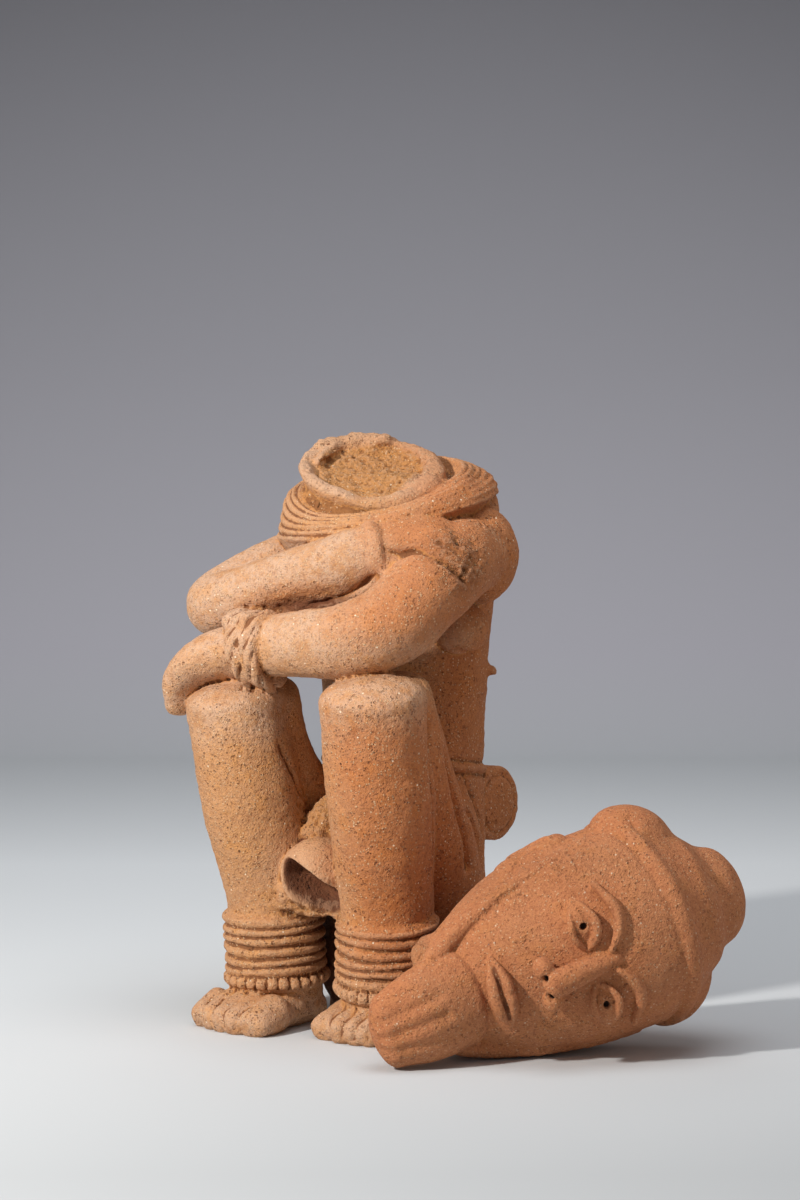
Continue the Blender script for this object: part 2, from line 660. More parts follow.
class Clay:
    """The skin of one fragment while it is worked: points, normals, edges and painted masks."""

    def __init__(self, mesh):
        self.mesh = mesh
        self.size = len(mesh.vertices)
        self.points = read_vectors(mesh.vertices, "co")
        edges = np.empty(len(mesh.edges) * 2, np.int32)
        mesh.edges.foreach_get("vertices", edges)
        self.edges = edges.reshape(-1, 2)
        self.degree = np.bincount(edges, minlength=self.size)
        self.masks = {}
        self.points = self.relaxed(self.points, 1)
        self.find_normals()

    def find_normals(self):
        self.mesh.vertices.foreach_set("co", self.points.astype(np.float32).ravel())
        self.mesh.update()
        self.normals = read_vectors(self.mesh.vertex_normals, "vector")

    def relaxed(self, values, rounds):
        """Each value moves half of the way to the mean of its neighbours, `rounds` times."""
        values = np.array(values, float).reshape(self.size, -1)
        a, b = self.edges.T
        for _ in range(rounds):
            total = [
                np.bincount(a, column[b], self.size) + np.bincount(b, column[a], self.size)
                for column in values.T
            ]
            values += 0.5 * (np.stack(total, 1) / self.degree[:, None] - values)
        return values

    def soften(self, where, rounds):
        """Smooths the skin where the mask is 1 and leaves it alone where it is 0."""
        smooth = self.relaxed(self.points, rounds)
        self.points += where[:, None] * (smooth - self.points)
        self.find_normals()

    def push(self, outwards):
        """Moves each point along its normal."""
        self.points += self.normals * outwards[:, None]

    def groove(self, path, width, depth, tapered=True):
        """Pushes the skin in along a path by depth x exp(-(distance / width)^2), and out where depth is
        negative. A tapered groove fades out at both ends."""
        low, high = path.min(0) - 3 * width, path.max(0) + 3 * width
        near = np.flatnonzero(np.all((self.points > low) & (self.points < high), axis=1))
        distance, along = nearest_on(self.points[near], path)
        push = depth * np.exp(-((distance / width) ** 2))
        if tapered:
            push *= np.clip(np.sin(math.pi * np.clip(along, 0.02, 0.98)) * 4, 0, 1)
        self.points[near] -= self.normals[near] * push[:, None]

    def groove_around(self, path, width, depth):
        """A groove along a closed path."""
        self.groove(np.vstack([path, path[:1]]), width, depth, tapered=False)

    def line(self, knots, width, depth, steps=8):
        """Scores a groove along a curve. Its points are first moved to the nearest points of the skin, and
        then smoothed by (a + 2 b + c) / 4, nine times."""
        path = through(knots, steps)
        local = self.points[np.all(np.abs(self.points - path.mean(0)) < np.ptp(path, 0).max() + 25, axis=1)]
        on_skin = np.array([local[((local - p) ** 2).sum(1).argmin()] for p in path])
        for _ in range(9):
            on_skin[1:-1] = (on_skin[:-2] + 2 * on_skin[1:-1] + on_skin[2:]) / 4
        self.groove(on_skin, width, depth)

    def around_axis(self, centre, radii, direction, wide=X_AXIS):
        """For each point: its distance q from an axis, as a share of an oval's radius, and its place along
        the axis."""
        direction, u, v = plane_axes(direction, wide)
        to = self.points - np.asarray(centre, float)
        return np.hypot(to @ u / radii[0], to @ v / radii[1]), to @ direction

    def hole(self, centre, radii, depth, direction, wide=X_AXIS, reach=14.0):
        """Pierces an oval hole: points near the axis move along `direction` by depth x exp(-q^6). It returns
        how far each was moved, as a share of the depth."""
        q, along = self.around_axis(centre, radii, direction, wide)
        facing = np.clip(-(self.normals @ unit(direction)) * 3, 0, 1) * (np.abs(along) < reach)
        amount = np.exp(-(q**6)) * facing
        self.points += np.outer(depth * amount, unit(direction))
        return amount

    def patch(self, centre, radii):
        """A soft mask, 1 inside an ellipsoid and 0 outside it."""
        reach = np.linalg.norm((self.points - np.asarray(centre, float)) / np.asarray(radii, float), axis=1)
        return np.clip(1.6 - 1.2 * reach, 0.0, 1.0)


# %% [markdown]
# ## Noise for coarse clay
#
# Weathered terracotta is lumpy at the scale of a thumb, grainy at the scale of its grit, and pitted where
# grains have fallen out. Each needs a number that varies smoothly and at random over space, yet is the same
# in every run. Hashing the whole-number corner of each cell gives that without a random generator.


# %% Noise
def scatter(cells, seed):
    """A number from 0 to 1 for each whole-number cell: its three numbers times large odd numbers, combined
    and mixed by shifts, then scaled."""
    x, y, z = (cells[..., axis].astype(np.int64) for axis in range(3))
    mixed = (x * 374761393 + y * 668265263 + z * 2147483647 + seed * 974711) & 0xFFFFFFFF
    mixed = ((mixed ^ (mixed >> 13)) * 1274126177) & 0xFFFFFFFF
    return ((mixed ^ (mixed >> 16)) & 0xFFFFFF) / float(0xFFFFFF)


def noise(points, size, seed):
    """Smooth noise from -1 to 1 with lumps of this size: the hashed numbers of the eight corners of a cell,
    blended along each axis by t^2 (3 - 2 t)."""
    scaled = points / size
    cell = np.floor(scaled)
    t = scaled - cell
    t = t * t * (3 - 2 * t)
    total = np.zeros(len(points))
    for corner in np.ndindex(2, 2, 2):
        weight = np.prod(np.where(corner, t, 1 - t), axis=1)
        total += weight * scatter(cell + corner, seed)
    return 2 * total - 1


def pits(points, size, seed, share):
    """How deep each point lies in a pit, 0 to 1. One pit is hidden at a hashed place in a `share` of the
    cells, with a hashed radius, and its depth falls off as 1 - (distance / radius)^2."""
    scaled = points / size
    cell = np.floor(scaled)
    deepest = np.zeros(len(points))
    for step in np.ndindex(3, 3, 3):
        near = cell + np.array(step) - 1
        spot = near + np.stack([scatter(near, seed + axis) for axis in (1, 2, 3)], 1)
        radius = 0.18 + 0.34 * scatter(near, seed + 4)
        here = scatter(near, seed + 5) < share
        depth = 1 - ((scaled - spot) ** 2).sum(1) / radius**2
        deepest = np.maximum(deepest, np.where(here, np.clip(depth, 0, 1), 0))
    return deepest


# %% [markdown]
# ## Weather
#
# The arms are worn smooth, the legs are granular, and some places have lost their skin and are deeply
# rough: the earth in the neck, the underside of the upper forearm, the back of the right hand, the root of
# the sheath. A mask says how much of each a point gets, and the same masks later steer the colours.


# %% Weathering
def weather(clay, lumps=0.6, grain=0.22, hollows=0.45, ruin=2.2, unit_size=1.0):
    """Pushes the skin out and in: thumb-sized lumps, grain, pits where grit fell out, and deep roughness."""
    p = clay.points.copy()
    rough = clay.masks["rough"]
    worn = clay.masks["worn"]
    push = lumps * (noise(p, 22 * unit_size, 11) + 0.5 * noise(p, 9 * unit_size, 12))
    fine = noise(p, 4.2 * unit_size, 13) + 0.6 * noise(p, 2.6 * unit_size, 14)
    push += grain * fine * (1.3 - 0.8 * worn)
    patchy = np.clip(0.5 + 1.2 * noise(p, 26 * unit_size, 15), 0.1, 1) * (1.15 - 0.75 * worn)
    push -= hollows * patchy * pits(p, 5.0 * unit_size, 21, 0.6)
    push -= 0.6 * hollows * patchy * pits(p + 3.3, 3.0 * unit_size, 31, 0.5)
    craggy = noise(p, 7 * unit_size, 41) + 0.8 * noise(p, 3.6 * unit_size, 42)
    craggy += 0.5 * noise(p, 2 * unit_size, 43)
    push += rough * ruin * (0.75 * craggy - 0.9 * pits(p, 6.5 * unit_size, 51, 0.75) - 0.15)
    clay.push(push)
    clay.find_normals()


def read_hollows(clay):
    """Two masks from the shape itself. The mean place of a point's neighbours lies above the skin in a hollow
    and below it on a ridge, so the offset along the normal tells which, at a fine and at a broad scale."""
    for name, rounds in (("fine", 4), ("broad", 45)):
        offset = clay.relaxed(clay.points, rounds) - clay.points
        clay.masks[name] = np.einsum("ij,ij->i", offset, clay.normals)
        print("  ", name, "hollows, mm at 5/50/95%:", np.percentile(clay.masks[name], (5, 50, 95)).round(2))


# %% [markdown]
# ## Carving the body
#
# These are the marks that a tool left in the wet clay: the parting of toes and fingers, the fold of thigh on
# shin, the hanging flap at the hip, the hatched fringe on the shoulder.


# %% Scored lines of the body
SHIN_FOLD = [(84, -62, 205), (85, -62, 168), (81, -54, 140), (76, -44, 100)]
FLANK_LINES = [  # knots on the left side, width and depth; a depth below zero raises a roll
    (SHIN_FOLD, 2.8, 4.5),
    (SHIN_FOLD, 1.6, 3.0),
    ([(81, -42, 182), (80, -30, 156), (77, -12, 124), (75, -4, 98)], 3.4, 5.5),
    ([(76, -12, 142), (68, 10, 136), (62, 26, 120), (56, 42, 100)], 2.0, 2.6),
    ([(62, 12, 150), (62, 26, 134), (56, 40, 116)], 2.6, -1.8),
    ([(60, 18, 160), (60, 34, 138), (54, 48, 118)], 1.8, 1.6),
    ([(62, -8, 243), (66, 8, 238), (62, 26, 242)], 3.6, 4.0),
]


def carve_body(clay):
    clay.soften(clay.patch((44, -62, 308), (14, 14, 18)), 20)
    for edge in range(1, COIL_STRANDS):
        clay.groove_around(coil_row(edge / COIL_STRANDS, 0.6, RING_STEPS), 1.2, 1.5)
    clay.groove_around(circle(NECK_RIM - 12 * NECK_NORMAL, (47, 47), NECK_NORMAL), 5.0, 3.0)
    between = [(-40, -80, 270), (-20, -76, 270), (0, -72, 272), (14, -70, 275), (30, -66, 282)]
    clay.line([*between, (44, -62, 291)], 2.0, 3.4)
    for leg_place in LEGS:
        side, ankle, heel = (leg_place[key] for key in ("side", "ankle", "heel"))
        for ring in range(-1, ANKLET_RINGS + 1):
            clay.groove_around(ring_path(side, ankle, heel, ANKLE_RADIUS + 3.0, ring + 0.5), 1.2, 1.2)
        nick_band(clay, ankle, heel)
    twist_bracelets(clay)
    for foot_place in FEET:
        carve_toes(clay, **foot_place)
    clay.hole(SHEATH_MOUTH, SHEATH_OVAL, 27.0, SHEATH_INWARDS, SHEATH_LONG, reach=24.0)
    clay.find_normals()
    for lift in (-7.5, 0.5, 8.5):
        clay.line([(-74, -88 + lift, 250), (-92, -90 + lift, 232), (-103, -88 + lift, 212)], 1.5, 0.9)
    ledge = [(49, -61, 308), (57, -57, 305), (64, -53, 307), (73, -52, 306), (81, -52, 303), (91, -46, 294)]
    clay.line([*ledge, (95, -38, 287)], 2.2, 2.6)
    clay.line([(44, -60, 318), (48, -62, 308), (49, -61, 298)], 2.0, 0.8)
    for s in (-1, 1):
        for knots, width, depth in FLANK_LINES:
            clay.line(mirrored(knots, s), width, depth)
        clay.groove_around(circle((s * 47, 72, 136), (19, 19), X_AXIS, Y_AXIS), 1.6, 1.4)
    for lift in (-4.5, 4.5):
        clay.groove_around(belt_path(1.0, lift), 1.8, 1.2)
    clay.line([(-21, -79, 186), (-20, -68, 166), (-22, -54, 148)], 1.8, 2.6)
    for k in range(11):
        spot = np.array([69.0 + 1.5 * k, 2.3 * k - 8, 334 - 1.8 * k])
        clay.line([spot, spot + (3, -4, -7), spot + (4, -7, -14)], 1.0, 1.9, steps=4)


def twist_bracelets(clay):
    """Slanting nicks around both bracelets make their strands look twisted: they sink where
    cos(9 x turn + place along the arm) peaks."""
    to = clay.points - (-33.0, -84.0, 244.0)
    along, out = to @ unit((1, 0.05, 0.12)), np.hypot(to[:, 1], to[:, 2])
    zone = np.clip(6.0 - np.abs(np.abs(along) - 6.5), 0, 1) * np.clip(out - 20.5, 0, 1) * (out < 28)
    nicks = np.clip((np.cos(9 * np.arctan2(to[:, 2], to[:, 1]) + 0.75 * along) - 0.25) * 1.8, 0, 1)
    clay.push(-1.5 * zone * nicks)
    clay.find_normals()


def nick_band(clay, ankle, heel):
    """The lowest anklet is nicked across into blocks: points sink near the turns where cos(n x turn)
    peaks."""
    middle, axis = ring_place(ankle, heel, LOWEST_RING)
    to = clay.points - middle
    within = np.clip(4.6 - np.abs(to @ axis), 0, 1) * (np.hypot(to[:, 0], to[:, 1]) < ANKLE_RADIUS + 9)
    nicks = np.clip((np.cos(NOTCHES * np.arctan2(to[:, 1], to[:, 0])) - 0.55) * 4, 0, 1)
    clay.push(-2.2 * within * nicks)
    clay.find_normals()


def carve_toes(clay, side, ankle, length, half_width, turn):
    """Four lines part the toes, over the top and down the front of the foot."""
    forward, across = foot_axes(turn)
    for edge in 1.0 - 2.0 * np.cumsum(TOE_SHARES)[:-1]:
        start = np.array(ankle) - side * across * edge * half_width
        knots = [start + forward * (length - 22) + (0, 0, 16), start + forward * (length - 10) + (0, 0, 9)]
        knots += [start + forward * (length - 3) + (0, 0, 0), start + forward * (length - 2) + (0, 0, -8)]
        clay.line(knots, 1.4, 1.2)


# %% Where the body is rough, worn, earthy or freshly broken
def paint_body(clay):
    p = clay.points
    ripple = 0.5 + 0.5 * noise(p, 12, 61)
    plane = (p - NECK_RIM) @ NECK_NORMAL
    out = np.linalg.norm((p - NECK_RIM) - np.outer(plane, NECK_NORMAL), axis=1)
    fill = np.clip((NECK_RADIUS - NECK_WALL + 1 - out) / 4, 0, 1) * (plane > -24) * (plane < 8)
    rim = np.clip((plane + 4) / 3, 0, 1) * (out > NECK_RADIUS - NECK_WALL - 2) * (out < NECK_RADIUS + 4)
    wall = np.clip(1 - np.abs(plane + 13) / 7, 0, 1) * np.clip((51 - out) / 3, 0, 1) * (p[:, 1] < 10)
    hand = clay.patch((88, -40, 303), (20, 20, 22))
    wrist = clay.patch((-36, -88, 246), (18, 30, 32)) * (np.linalg.norm(p[:, 1:] - (-84, 244), axis=1) > 20.5)
    underside = clay.patch((0, -72, 274), (54, 16, 13))
    root = clay.patch((-6, -46, 138), (22, 24, 18))
    ledge = clay.patch((-3, -66, 78), (28, 16, 8))
    stump = clay.patch((56, 62, 226), (12, 12, 12))
    rough = np.maximum.reduce([fill, 0.6 * wall, hand, 0.3 * underside, 0.9 * root, ledge, 0.6 * stump])
    arms = np.clip((p[:, 2] - 232) / 14, 0, 1) * np.clip((10 - p[:, 1]) / 20, 0, 1)
    collar = np.clip((p[:, 2] - 312) / 8, 0, 1) * np.clip((p[:, 1] + 66) / 8, 0, 1) * (1 - rim)
    q, along = clay.around_axis(SHEATH_MOUTH, SHEATH_OVAL, SHEATH_INWARDS, SHEATH_LONG)
    cavity = np.clip((along - 1) / 4, 0, 1) * np.clip((1.15 - q) / 0.15, 0, 1) * (along < 34)
    lip = clay.patch((-3, -78, 104), (26, 20, 22)) * (1 - cavity)
    gap = clay.patch((-16, 0, 44), (50, 26, 50)) * (p[:, 1] > -26) * (p[:, 1] < 14)
    overlap = clay.patch((0, -66, 272), (56, 12, 7))
    soft = 8 * noise(p, 30, 62)
    low_left = np.clip((p[:, 0] - 20 + soft) / 40, 0.25 * (p[:, 0] > 10), 1)
    low_left *= np.clip((226 + soft - p[:, 2]) / 26, 0, 1)
    low_left *= np.clip((p[:, 2] - 30) / 20, 0, 1)
    behind = np.clip((p[:, 1] + 16 + soft) / 24, 0, 1) * np.clip((p[:, 0] + 30) / 30, 0, 1)
    behind *= 1 - 0.55 * np.clip((p[:, 2] - 290) / 30, 0, 1)
    upper_arm = np.clip((p[:, 0] - 24 + 2 * soft) / 40, 0, 1) * np.clip((p[:, 2] - 238) / 30, 0, 1)
    knees = np.clip(1.3 - np.abs(p[:, 2] - 214 + 1.5 * soft) / 26, 0, 1) * np.clip((-60 - p[:, 1]) / 15, 0, 1)
    feet = np.clip((26 - p[:, 2]) / 10, 0, 1)
    dust = np.maximum.reduce([arms * (1 - 0.7 * upper_arm) * (1 - collar), 0.9 * knees, 0.7 * feet])
    most = np.maximum.reduce
    clay.masks["rough"] = np.clip(np.maximum(rough + 0.4 * rim, 0.2 * wrist), 0, 1)
    clay.masks["worn"] = np.clip(0.75 * arms * (1 - rough) + 0.5 * lip, 0, 1)
    clay.masks["earth"] = most([fill, 0.6 * underside, 0.9 * root, 0.7 * ledge, 0.3 * hand, wall])
    clay.masks["stained"] = np.clip(most([2 * cavity, 2 * gap, overlap, 0.5 * hand * ripple]), 0, 1)
    clay.masks["pierced"] = np.zeros(clay.size)
    clay.masks["broken"] = np.clip(np.maximum(rim, lip), 0, 1)
    clay.masks["warm"] = most([low_left, behind, 1.15 * upper_arm, 0.8 * underside, 0.8 * hand])
    clay.masks["dusty"] = np.clip(dust * (1 - rough), 0, 1)


# %% [markdown]
# ## Carving the head
#
# Lids, brows and the parting of the lips are scored, and pupils and nostrils are pierced, as potters do to
# let steam out. The beard has combed lines, and a groove on either side sets off the edge of the cap.


# %% Scored lines and holes of the head
def carve_head(clay):
    pierced = np.zeros(clay.size)
    for s in (-1, 1):
        fold = [(9, -53, 95), (17, -56, 104), (26, -55, 106), (35, -49, 102), (42, -43, 95)]
        brow_line = [(9, -56, 110), (20, -54, 116), (31, -50, 116), (44, -41, 108)]
        for knots, width, depth in ((fold, 1.1, 0.9), (brow_line, 1.0, 0.8)):
            clay.line(mirrored(knots, s), width, depth)
        for height in (103, 95, 87, 79, 71, 63, 55, 47, 39, 31, 23, 15):
            start = (57 - 0.0026 * (103 - height) ** 2, -17 - 0.06 * (103 - height), height)
            clay.line(mirrored([start, np.add(start, (3, 10, -4))], s), 1.1, 0.7, steps=4)
        pierced += clay.hole((s * 24.5, -50, 93.5), (2.1, 2.1), 5.0, (0, 1, 0))
        pierced += clay.hole((s * 5.5, -64, 60), (2.2, 2.2), 4.5, (0, 0.75, 0.65))
        ear = np.radians(np.linspace(-120, 120, 9))
        rim = np.stack([np.full(9, s * 66.0), 8 + 8 * np.cos(ear) - 3, 82 + 15 * np.sin(ear)], 1)
        clay.line(rim, 1.4, -1.2)
        clay.line([(s * 64, -2, 90), (s * 66, 4, 82), (s * 64, 0, 72)], 2.0, 1.4)
        clay.line([(s * 10, -58, 74), (s * 18, -54, 66), (s * 16, -52, 57)], 1.5, 0.9)
    clay.line([(-20, -42, 36), (-9, -47, 36.5), (0, -49, 35.8), (9, -47, 36.5), (20, -42, 36)], 1.4, 1.3)
    clay.line([(0, -54, 54), (0, -50, 47)], 1.8, 0.8)
    for x, depth in ((-15, 1.4), (0, 1.8), (15, 1.4)):
        clay.line([(x, -50, 8), (x * 0.9, -54, -12), (x * 0.75, -54, -32), (x * 0.5, -44, -46)], 3.4, depth)
    for lift, depth in ((-7.0, 1.2), (6.5, 1.6)):
        clay.groove_around(band_path(63.0, lift), 2.2, depth)
    clay.masks["pierced"] = np.clip(pierced, 0, 1)


def paint_head(clay):
    p = clay.points
    under = np.clip((8 - p[:, 2]) / 6, 0, 1) * np.clip((p[:, 1] + 26) / 8, 0, 1)
    side = clay.patch((-52, -10, 66), (16, 22, 40)) + clay.patch((-48, -22, 112), (14, 20, 26))
    clay.masks["rough"] = np.clip(0.8 * under + 0.5 * side, 0, 1)
    clay.masks["worn"] = np.clip(0.55 + 0.3 * noise(p, 40, 71) - clay.masks["rough"], 0, 1)
    clay.masks["earth"] = np.clip(0.7 * under + 0.2 * side, 0, 1)
    clay.masks["broken"] = under
    clay.masks["warm"] = np.full(clay.size, 0.4)
    clay.masks["dusty"] = np.zeros(clay.size)
    clay.masks["stained"] = np.zeros(clay.size)


# %% [markdown]
# ## Finish a fragment
#
# The skin has three or four times as many triangles as it needs, so it is thinned where it is flat. It is
# cut off level at the ground, fitted to its box in the frame, and handed over as one object at the origin.


# %% Cut level, thin, fit
def stand_level(mesh):
    """Cuts the skin at the ground and closes each cut with a flat face."""
    shell = bmesh.new()
    shell.from_mesh(mesh)
    everything = shell.verts[:] + shell.edges[:] + shell.faces[:]
    plane = dict(plane_co=(0, 0, 0), plane_no=(0, 0, 1), clear_inner=True)
    cut = bmesh.ops.bisect_plane(shell, geom=everything, dist=1e-5, **plane)["geom_cut"]
    rim = [edge for edge in cut if isinstance(edge, bmesh.types.BMEdge)]
    bmesh.ops.edgeloop_fill(shell, edges=rim)
    bmesh.ops.triangulate(shell, faces=[face for face in shell.faces if len(face.verts) > 4])
    bmesh.ops.recalc_face_normals(shell, faces=shell.faces)
    shell.to_mesh(mesh)
    shell.free()


def thin(mesh, most):
    """Collapses the least telling edges until at most this many triangles are left."""
    mesh.calc_loop_triangles()
    return modified("thinning", mesh, "DECIMATE", ratio=min(1.0, most / len(mesh.loop_triangles)))


def fit(mesh, box):
    """Stretches the piece by a hair so that it fills its box: x and y from side to side, z from the
    ground."""
    points = read_vectors(mesh.vertices, "co")
    low, high = points.min(0), points.max(0)
    box_low, box_high = np.array(box[0], float), np.array(box[1], float)
    low[2] = box_low[2] = 0.0
    stretch = (box_high - box_low) / (high - low)
    print("   stretched by", (stretch / MM).round(4), "to fit its box")
    points = box_low + (points - low) * stretch
    mesh.vertices.foreach_set("co", points.astype(np.float32).ravel())
    mesh.update()


def hand_over(clay, name, node, turn, drop, material):
    """Writes the arrays back, lays the fragment in its place and puts it in the scene."""
    p = clay.points @ np.array(turn.to_3x3()).T
    p[:, 2] -= drop
    clay.mesh.vertices.foreach_set("co", p.astype(np.float32).ravel())
    for mask, values in clay.masks.items():
        layer = clay.mesh.attributes.new(mask, "FLOAT", "POINT")
        layer.data.foreach_set("value", np.asarray(values, np.float32))
    clay.mesh.update()
    stand_level(clay.mesh)
    mesh = thin(clay.mesh, TRIANGLES)
    fit(mesh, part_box(node))
    mesh.materials.clear()
    mesh.materials.append(material)
    mesh.shade_smooth()
    mesh.calc_loop_triangles()
    piece = add_object(name, mesh)
    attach(piece, "root")
    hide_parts(node)
    print(name, len(mesh.loop_triangles), "triangles")


# %% [markdown]
# ## Shader maths
#
# A material is easier to read as a sum than as a web of nodes. `Signal` wraps one socket and turns + - *
# into Math nodes. `Recipe.node` makes every other kind of node.


# %% Signals and recipes
class Signal:
    """A value that flows through a material."""

    def __init__(self, recipe, socket):
        self.recipe = recipe
        self.socket = socket

    def math(self, operation, first, second):
        return self.recipe.node("ShaderNodeMath", {"operation": operation}, {0: first, 1: second})

    def __add__(self, other):
        return self.math("ADD", self, other)

    def __sub__(self, other):
        return self.math("SUBTRACT", self, other)

    def __rsub__(self, other):
        return self.math("SUBTRACT", other, self)

    def __mul__(self, other):
        return self.math("MULTIPLY", self, other)

    def between(self, low, high):
        """0 below `low`, 1 above `high`, and an S curve in between."""
        settings = {"interpolation_type": "SMOOTHSTEP"}
        return self.recipe.node("ShaderNodeMapRange", settings, {0: self, 1: low, 2: high, 3: 0.0, 4: 1.0})


class Recipe:
    """The nodes of one material."""

    def __init__(self, name):
        self.material = bpy.data.materials.new(name)
        self.material.use_nodes = True
        self.tree = self.material.node_tree
        self.tree.nodes.clear()

    def node(self, kind, settings=None, sockets=None, output=0):
        made = self.tree.nodes.new(kind)
        for name, value in (settings or {}).items():
            if name == "stops":
                self.set_stops(made.color_ramp, value)
            else:
                setattr(made, name, value)
        for name, value in (sockets or {}).items():
            if isinstance(value, Signal):
                self.tree.links.new(value.socket, made.inputs[name])
            else:
                made.inputs[name].default_value = value
        return Signal(self, made.outputs[output])

    @staticmethod
    def set_stops(ramp, stops):
        while len(ramp.elements) < len(stops):
            ramp.elements.new(0.5)
        for element, (place, colour) in zip(ramp.elements, stops):
            element.position = place
            element.color = (*colour, 1.0)

    def blend(self, share, below, above):
        """The colour `below` where share is 0 and `above` where it is 1."""
        pair = [(*c, 1.0) if isinstance(c, tuple) else c for c in (below, above)]
        return self.node("ShaderNodeMix", {"data_type": "RGBA"}, {0: share, 6: pair[0], 7: pair[1]}, 2)

    def tint(self, share, below, colour):
        """Multiplies the colour `below` by `colour`, as far as share says."""
        settings = {"data_type": "RGBA", "blend_type": "MULTIPLY"}
        return self.node("ShaderNodeMix", settings, {0: share, 6: below, 7: (*colour, 1.0)}, 2)

    def cloud(self, place, size, detail=3.0, roughness=0.55):
        """Noise with lumps of this size in metres, from about 0.3 to 0.7."""
        sockets = {"Vector": place, "Scale": 1.0 / size, "Detail": detail, "Roughness": roughness}
        return self.node("ShaderNodeTexNoise", None, sockets)

    def cells(self, place, size, output="Distance"):
        """The distance to the nearest of a crowd of random points, or the colour of its cell."""
        return self.node("ShaderNodeTexVoronoi", None, {"Vector": place, "Scale": 1.0 / size}, output)

    def mask(self, name):
        return self.node("ShaderNodeAttribute", {"attribute_name": name}, None, "Fac")

    def finish(self, **sockets):
        shader = self.node("ShaderNodeBsdfPrincipled", None, sockets)
        output = self.tree.nodes.new("ShaderNodeOutputMaterial")
        self.tree.links.new(shader.socket, output.inputs["Surface"])
        return self.material


# %% [markdown]
# ## Coarse terracotta
#
# The fired clay runs from orange-brown to a dusty pink, in soft clouds. Ochre earth has stayed in its
# hollows, deep creases are dark red-brown, and rubbed ridges are paler. Quartz grit shows as pale specks,
# some of them bright, with a few dark grains. The same grit and the pits between it stand up in the bump.


# %% Clay material
def terracotta(name, base, warm, dusty, pale, ochre, dark, specks=1.0, granular=1.0):
    m = Recipe(name)
    place = m.node("ShaderNodeTexCoord", None, None, "Object")
    fine, broad = m.mask("fine"), m.mask("broad")
    rough, worn, earth = m.mask("rough"), m.mask("worn"), m.mask("earth")

    large = m.cloud(place, 0.060)
    middle = m.cloud(place, 0.016, 4.0, 0.6)
    small = m.cloud(place, 0.0032, 4.0, 0.65)
    grains = m.cloud(place, 0.0011, 2.0, 0.6)

    colour = m.blend(m.mask("dusty") * middle.between(0.30, 0.56), base, dusty)
    colour = m.blend(large.between(0.42, 0.64) * 0.35, colour, pale)
    colour = m.blend(middle.between(0.50, 0.66) * 0.45, colour, ochre)
    colour = m.tint(middle.between(0.52, 0.36) * 0.30, colour, (0.82, 0.76, 0.74))
    colour = m.tint(small.between(0.48, 0.36) * 0.50, colour, (0.66, 0.54, 0.47))
    colour = m.tint(grains.between(0.50, 0.34) * 0.55, colour, (0.62, 0.52, 0.46))
    colour = m.blend(small.between(0.56, 0.68) * 0.30, colour, pale)
    colour = m.blend(grains.between(0.50, 0.64) * 0.45, colour, ochre)
    colour = m.blend(m.mask("broken") * 0.55, colour, pale)
    colour = m.tint(m.mask("warm"), colour, warm)

    settled = earth * 0.8 + broad.between(0.15, 1.6) * 0.8 + fine.between(0.02, 0.25) * 0.35
    settled = settled.between(0.1, 1.1)
    colour = m.blend(settled * 0.75, colour, ochre)
    creased = (broad.between(1.0, 3.6) * 0.8 + fine.between(0.07, 0.34) * 1.0).between(0.12, 1.1)
    colour = m.blend(creased * (0.8 - earth * 0.35), colour, dark)
    colour = m.blend(m.mask("stained") * 0.93, colour, dark)
    rubbed = (0.0 - fine).between(0.03, 0.30)
    colour = m.blend(rubbed * 0.30, colour, pale)

    def grit(size, radius, channel, share):
        """Round grains of this size in a share of the cells, picked by one channel of the cell's colour."""
        near = m.cells(place, size).between(radius, radius * 0.5)
        pick = m.node("ShaderNodeSeparateColor", None, {0: m.cells(place, size, "Color")}, channel)
        return near * pick.between(1.0 - share, 1.0 - share + 0.02)

    speck = (grit(0.0017, 0.42, 0, 0.26) + grit(0.0033, 0.26, 2, 0.16)).between(0.0, 0.8) * specks
    clean = 1.0 - m.mask("stained")
    glint = grit(0.0045, 0.17, 1, 0.16) * clean * specks
    black = grit(0.0036, 0.20, 0, 0.06)
    colour = m.blend(speck * clean * 0.65, colour, (0.74, 0.49, 0.28))
    colour = m.blend(glint * 0.9, colour, (0.88, 0.74, 0.54))
    colour = m.blend(black * 0.7, colour, (0.13, 0.09, 0.08))
    colour = m.blend(m.mask("pierced").between(0.3, 0.9), colour, (0.03, 0.012, 0.006))

    pitted = (1.2 - worn * 0.7) * granular
    pit = (grit(0.0028, 0.40, 1, 0.24) + grit(0.0016, 0.42, 2, 0.24)) * pitted * middle.between(0.34, 0.58)
    colour = m.tint(pit * (0.45 - earth * 0.4), colour, (0.50, 0.34, 0.26))
    height = small * 0.0012 * (1.25 - worn * 0.6) + grains * 0.0008 + middle * 0.0014
    height = height + rough * small * 0.0036 + speck * 0.0004 - pit * 0.0009
    normal = m.node("ShaderNodeBump", None, {"Height": height, "Distance": 1.0, "Strength": 1.0})
    roughness = 0.92 - speck * 0.12 - glint * 0.5 - worn * 0.08
    return m.finish(**{"Base Color": colour, "Roughness": roughness, "Normal": normal})


body_clay = terracotta(
    "coarse_terracotta",
    base=(0.560, 0.280, 0.124),
    warm=(0.90, 0.66, 0.49),
    dusty=(0.600, 0.390, 0.265),
    pale=(0.610, 0.350, 0.205),
    ochre=(0.610, 0.270, 0.074),
    dark=(0.150, 0.045, 0.016),
)
head_clay = terracotta(
    "red_terracotta",
    base=(0.480, 0.178, 0.069),
    warm=(0.98, 0.94, 0.90),
    dusty=(0.480, 0.250, 0.140),
    pale=(0.520, 0.240, 0.112),
    ochre=(0.480, 0.185, 0.058),
    dark=(0.130, 0.038, 0.014),
    specks=0.55,
    granular=0.9,
)
print("materials:", body_clay.name, head_clay.name)

